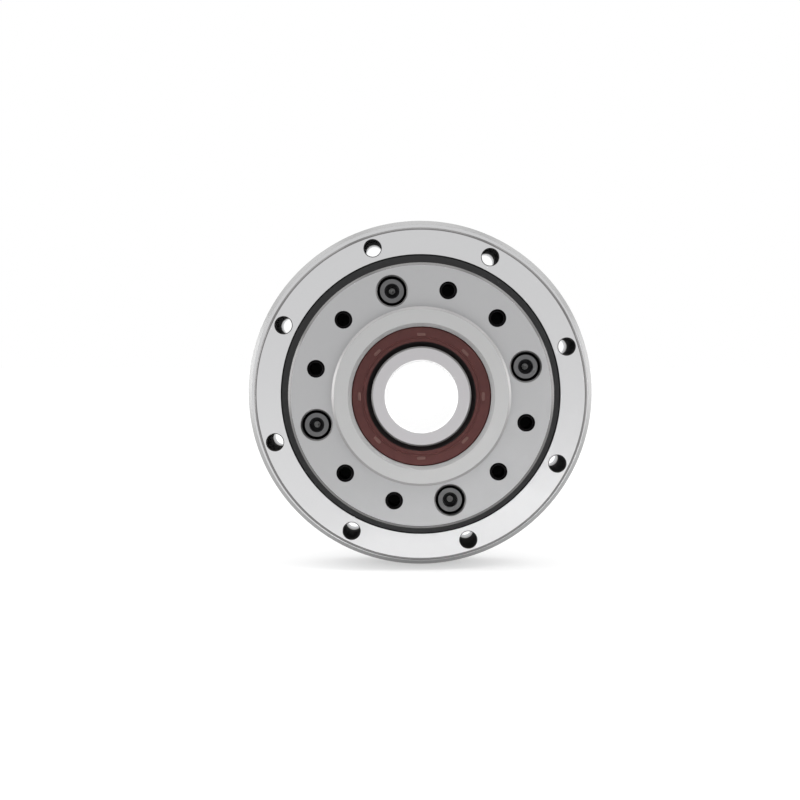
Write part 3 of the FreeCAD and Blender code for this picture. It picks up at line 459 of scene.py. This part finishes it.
def grid_faces(rows, columns, closed_rows):
    """Four-sided faces of a grid of points. Its columns close into rings, and its rows too if asked."""
    steps = rows if closed_rows else rows - 1
    row, column = np.meshgrid(np.arange(steps), np.arange(columns), indexing="ij")
    after = (row + 1) % rows
    beside = (column + 1) % columns
    corners = [line * columns + place for line, place in
               ((row, column), (after, column), (after, beside), (row, beside))]
    return np.stack(corners, axis=-1).reshape(-1, 4)


def tap_threads():
    """Cut threads in the tapped holes of the output flange.

    At turn t and depth d the wall is at minor + (root - minor) * |2 f - 1|, where f is the fraction part of
    d / pitch - t / (2 pi). The same grid comes back up along the drilled wall, so that each thread is a
    closed ring.
    """
    around, along = 28, 100
    turn = np.linspace(0, 2 * np.pi, around, endpoint=False)
    depth = np.linspace(TAP_MOUTH_DEPTH, TAP_DEPTH, along)
    turns, depths = np.meshgrid(turn, depth)
    fraction = np.mod(depths / TAP_PITCH - turns / (2 * np.pi), 1.0)
    root_r = TAP_MAJOR_R - TAP_ROOT_WALL
    thread = TAP_MINOR_R + (root_r - TAP_MINOR_R) * np.abs(2 * fraction - 1)
    radii = np.vstack([thread, np.full((2, around), TAP_MAJOR_R)])
    levels = output_face_y + np.vstack([depths, depths[-1:], depths[:1]])
    turns = np.vstack([turns, turns[:2]])
    ring_faces = grid_faces(*radii.shape, closed_rows=True)
    points, faces = [], []
    for index in range(TAP_HOLE_COUNT):
        if index % (TAP_HOLE_COUNT // SCREW_COUNT) == 0:
            continue
        place = math.radians(TAP_HOLE_START + 360.0 * index / TAP_HOLE_COUNT)
        x = TAP_CIRCLE_R * math.cos(place) + radii * np.cos(turns)
        z = TAP_CIRCLE_R * math.sin(place) + radii * np.sin(turns)
        faces += (ring_faces + len(points) * radii.size).tolist()
        points.append(np.stack([x, levels, z], axis=-1).reshape(-1, 3))
    # The threads are coloured near black, painted shade in the tapped holes.
    return make_piece("tap_threads", np.vstack(points), faces, "output",
                      plain_metal("shaded_cut_thread", "1E1D1E", 0.45))


def seal_marks(name, face_y, outward, body):
    """Plain raised pads moulded round a seal's face. outward is 1 or -1, the way the face looks along Y.

    At turn t a pad's edge is at (|cos t|^n + |sin t|^n)^(-1/n), a square with round corners. Towards its
    top, at rise e, the edge shrinks by sqrt(cos e) while the height grows as sqrt(sin e). Its foot stands in
    the rubber.
    """
    around, upwards = 24, 6
    turn = np.linspace(0, 2 * np.pi, around, endpoint=False)
    rise = np.linspace(0.0, np.pi / 2, upwards, endpoint=False)
    turns, rises = np.meshgrid(turn, np.append(0.0, rise))
    power = SEAL_MARK_SQUARENESS
    edge = (np.abs(np.cos(turns)) ** power + np.abs(np.sin(turns)) ** power) ** (-1 / power)
    edge = edge * np.sqrt(np.cos(rises))
    length = np.append(SEAL_MARK_LENGTH / 2 * edge * np.cos(turns), [0.0, 0.0])
    width = np.append(SEAL_MARK_WIDTH / 2 * edge * np.sin(turns), [0.0, 0.0])
    height = SEAL_MARK_HEIGHT * np.sqrt(np.sin(rises))
    height[0] = -SEAL_MARK_FOOT
    height = np.append(height, [SEAL_MARK_HEIGHT, -SEAL_MARK_FOOT])
    column = np.arange(around)
    beside = (column + 1) % around
    last_row = upwards * around
    crown, sole = last_row + around, last_row + around + 1
    sides = grid_faces(upwards + 1, around, closed_rows=False)
    top = np.stack([last_row + column, np.full(around, crown), last_row + beside], axis=-1)
    foot = np.stack([column, beside, np.full(around, sole)], axis=-1)
    points, faces = [], []
    for index in range(SEAL_MARK_COUNT):
        place = 2 * math.pi * index / SEAL_MARK_COUNT
        radial = SEAL_MARK_CIRCLE_R + width
        x = radial * math.cos(place) - length * math.sin(place)
        z = radial * math.sin(place) + length * math.cos(place)
        for group in (sides, top, foot):
            corners = group if outward > 0 else group[:, ::-1]
            faces += (corners + index * length.size).tolist()
        points.append(np.stack([x, face_y + outward * height, z], axis=-1))
    return make_piece(name, np.vstack(points), faces, body, seal_mark_rubber)


seal_mark_rubber = rubbed_brown_rubber()
tap_threads()
seal_marks("front_seal_marks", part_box("front_oil_seal")[0].y / MM + SEAL_BEAD_HEIGHT, -1, "output")
seal_marks("rear_seal_marks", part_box("rear_oil_seal")[1].y / MM - SEAL_BEAD_HEIGHT, 1, "housing")


# Studio

def studio_world():
    """A white room all round. Eye, mirror and glass all see the same walls."""
    world = bpy.data.worlds.new("studio")
    bpy.context.scene.world = world
    world.use_nodes = True
    world.node_tree.nodes["Background"].inputs["Color"].default_value = srgb("FFFFFF")


def studio_floor():
    """White paper under the gearbox. What is seen of it is lifted to white, and shadows still darken it.

    The lift is lower close to the gearbox's foot, a painted shadow that deepens the real one there, and
    further off it grows as the lamps' light falls off.
    """
    half = FLOOR_HALF * MM
    mesh = bpy.data.meshes.new("studio_floor")
    corners = [(x * half, y * half, floor_z) for x, y in ((-1, -1), (1, -1), (1, 1), (-1, 1))]
    mesh.from_pydata(corners, [], [(0, 1, 2, 3)])
    material, tree, inputs = new_material("white_paper", roughness=1.0)
    inputs["Base Color"].default_value = srgb("B0B0B0")
    inputs["Specular IOR Level"].default_value = 0.0
    inputs["Emission Color"].default_value = srgb("FFFFFF")
    rays = add(tree, "LightPath")
    seen = add(tree, "Math", [rays["Is Camera Ray"], rays["Is Glossy Ray"]], operation="MAXIMUM")[0]
    seen = add(tree, "Math", [seen, rays["Is Transmission Ray"]], operation="MAXIMUM")[0]
    place = add(tree, "TexCoord")["Object"]
    foot = (0.0, FLOOR_FOOT_Y * MM, floor_z)
    offset = add(tree, "VectorMath", [place, foot], operation="SUBTRACT")[0]
    oval = add(tree, "VectorMath", [offset, (1.0, FLOOR_FADE_ALONG, 0.0)], operation="MULTIPLY")[0]
    lifts = []
    # The near lift paints a shadow: lower close to the foot, and narrower along the gear axis than across
    # it.
    for spot, span, grown in ((oval, FLOOR_NEAR, FLOOR_NEAR_LIFT), (offset, FLOOR_FAR, FLOOR_FAR_LIFT)):
        distance = add(tree, "VectorMath", [spot], operation="LENGTH")["Value"]
        feeds = {"Value": distance, "From Min": span[0] * MM, "From Max": span[1] * MM,
                 "To Min": grown[0], "To Max": grown[1]}
        lifts.append(add(tree, "MapRange", feeds)[0])
    lift = add(tree, "Math", lifts, operation="ADD")[0]
    lift = add(tree, "Math", [seen, lift], operation="MULTIPLY")[0]
    tree.links.new(lift, inputs["Emission Strength"])
    mesh.materials.append(material)
    floor = bpy.data.objects.new("studio_floor", mesh)
    bpy.context.collection.objects.link(floor)


def soft_box(name, place, target, size, power, spread=180.0):
    """A soft box that looks at a point. place, target and size are in millimetres, spread in degrees."""
    lamp = bpy.data.lights.new(name, "AREA")
    lamp.shape = "RECTANGLE"
    lamp.size = size[0] * MM
    lamp.size_y = size[1] * MM
    lamp.spread = math.radians(spread)
    lamp.energy = power
    shown = bpy.data.objects.new(name, lamp)
    shown.location = Vector(place) * MM
    shown.rotation_euler = (Vector(target) - Vector(place)).to_track_quat("-Z", "Y").to_euler()
    bpy.context.collection.objects.link(shown)


def photo_camera():
    """The photograph's camera, in front of the output and a little above the axis.

    The gear axis runs to its vanishing point in the picture, which gives the camera's tilt and turn.
    """
    data = bpy.data.cameras.new("photo_camera")
    data.sensor_width = SENSOR_WIDTH
    data.lens = FOCAL_PX / PICTURE_SIZE * SENSOR_WIDTH
    data.clip_start, data.clip_end = (limit * MM for limit in CAMERA_CLIP)
    camera = bpy.data.objects.new("photo_camera", data)
    camera.location = (-CAMERA_LEFT * MM, -CAMERA_DISTANCE * MM, CAMERA_UP * MM)
    middle = PICTURE_SIZE / 2
    turn = math.atan2(AXIS_VANISHES_AT[0] - middle, FOCAL_PX)
    tilt = math.atan2(middle - AXIS_VANISHES_AT[1], FOCAL_PX)
    camera.rotation_euler = (math.pi / 2 - tilt, 0.0, turn)
    bpy.context.collection.objects.link(camera)
    bpy.context.scene.camera = camera


studio_world()
studio_floor()
soft_box("left_box", place=(-300, -60, 10), target=LAMP_AIM, size=(170, 240), power=0.42)
soft_box("right_box", place=(300, -60, 10), target=LAMP_AIM, size=(170, 240), power=0.38)
soft_box("upper_left_box", place=(-230, -60, 260), target=LAMP_AIM, size=(200, 200), power=0.16)
soft_box("upper_right_box", place=(230, -60, 260), target=LAMP_AIM, size=(200, 200), power=0.16)
soft_box("top_box", place=(0, -60, 420), target=(0, -10, 0), size=(300, 200), power=0.25)
# Two narrow lamps light the floor that the lower and the right part of the ring mirror
soft_box("near_floor_box", place=(120, -170, 160), target=(4, -38, -37), size=(40, 40), power=0.011,
         spread=14.0)
soft_box("right_floor_box", place=(150, -230, 220), target=(60, -125, -37), size=(40, 40), power=0.04,
         spread=22.0)
photo_camera()
bpy.context.scene.view_settings.view_transform = "Standard"
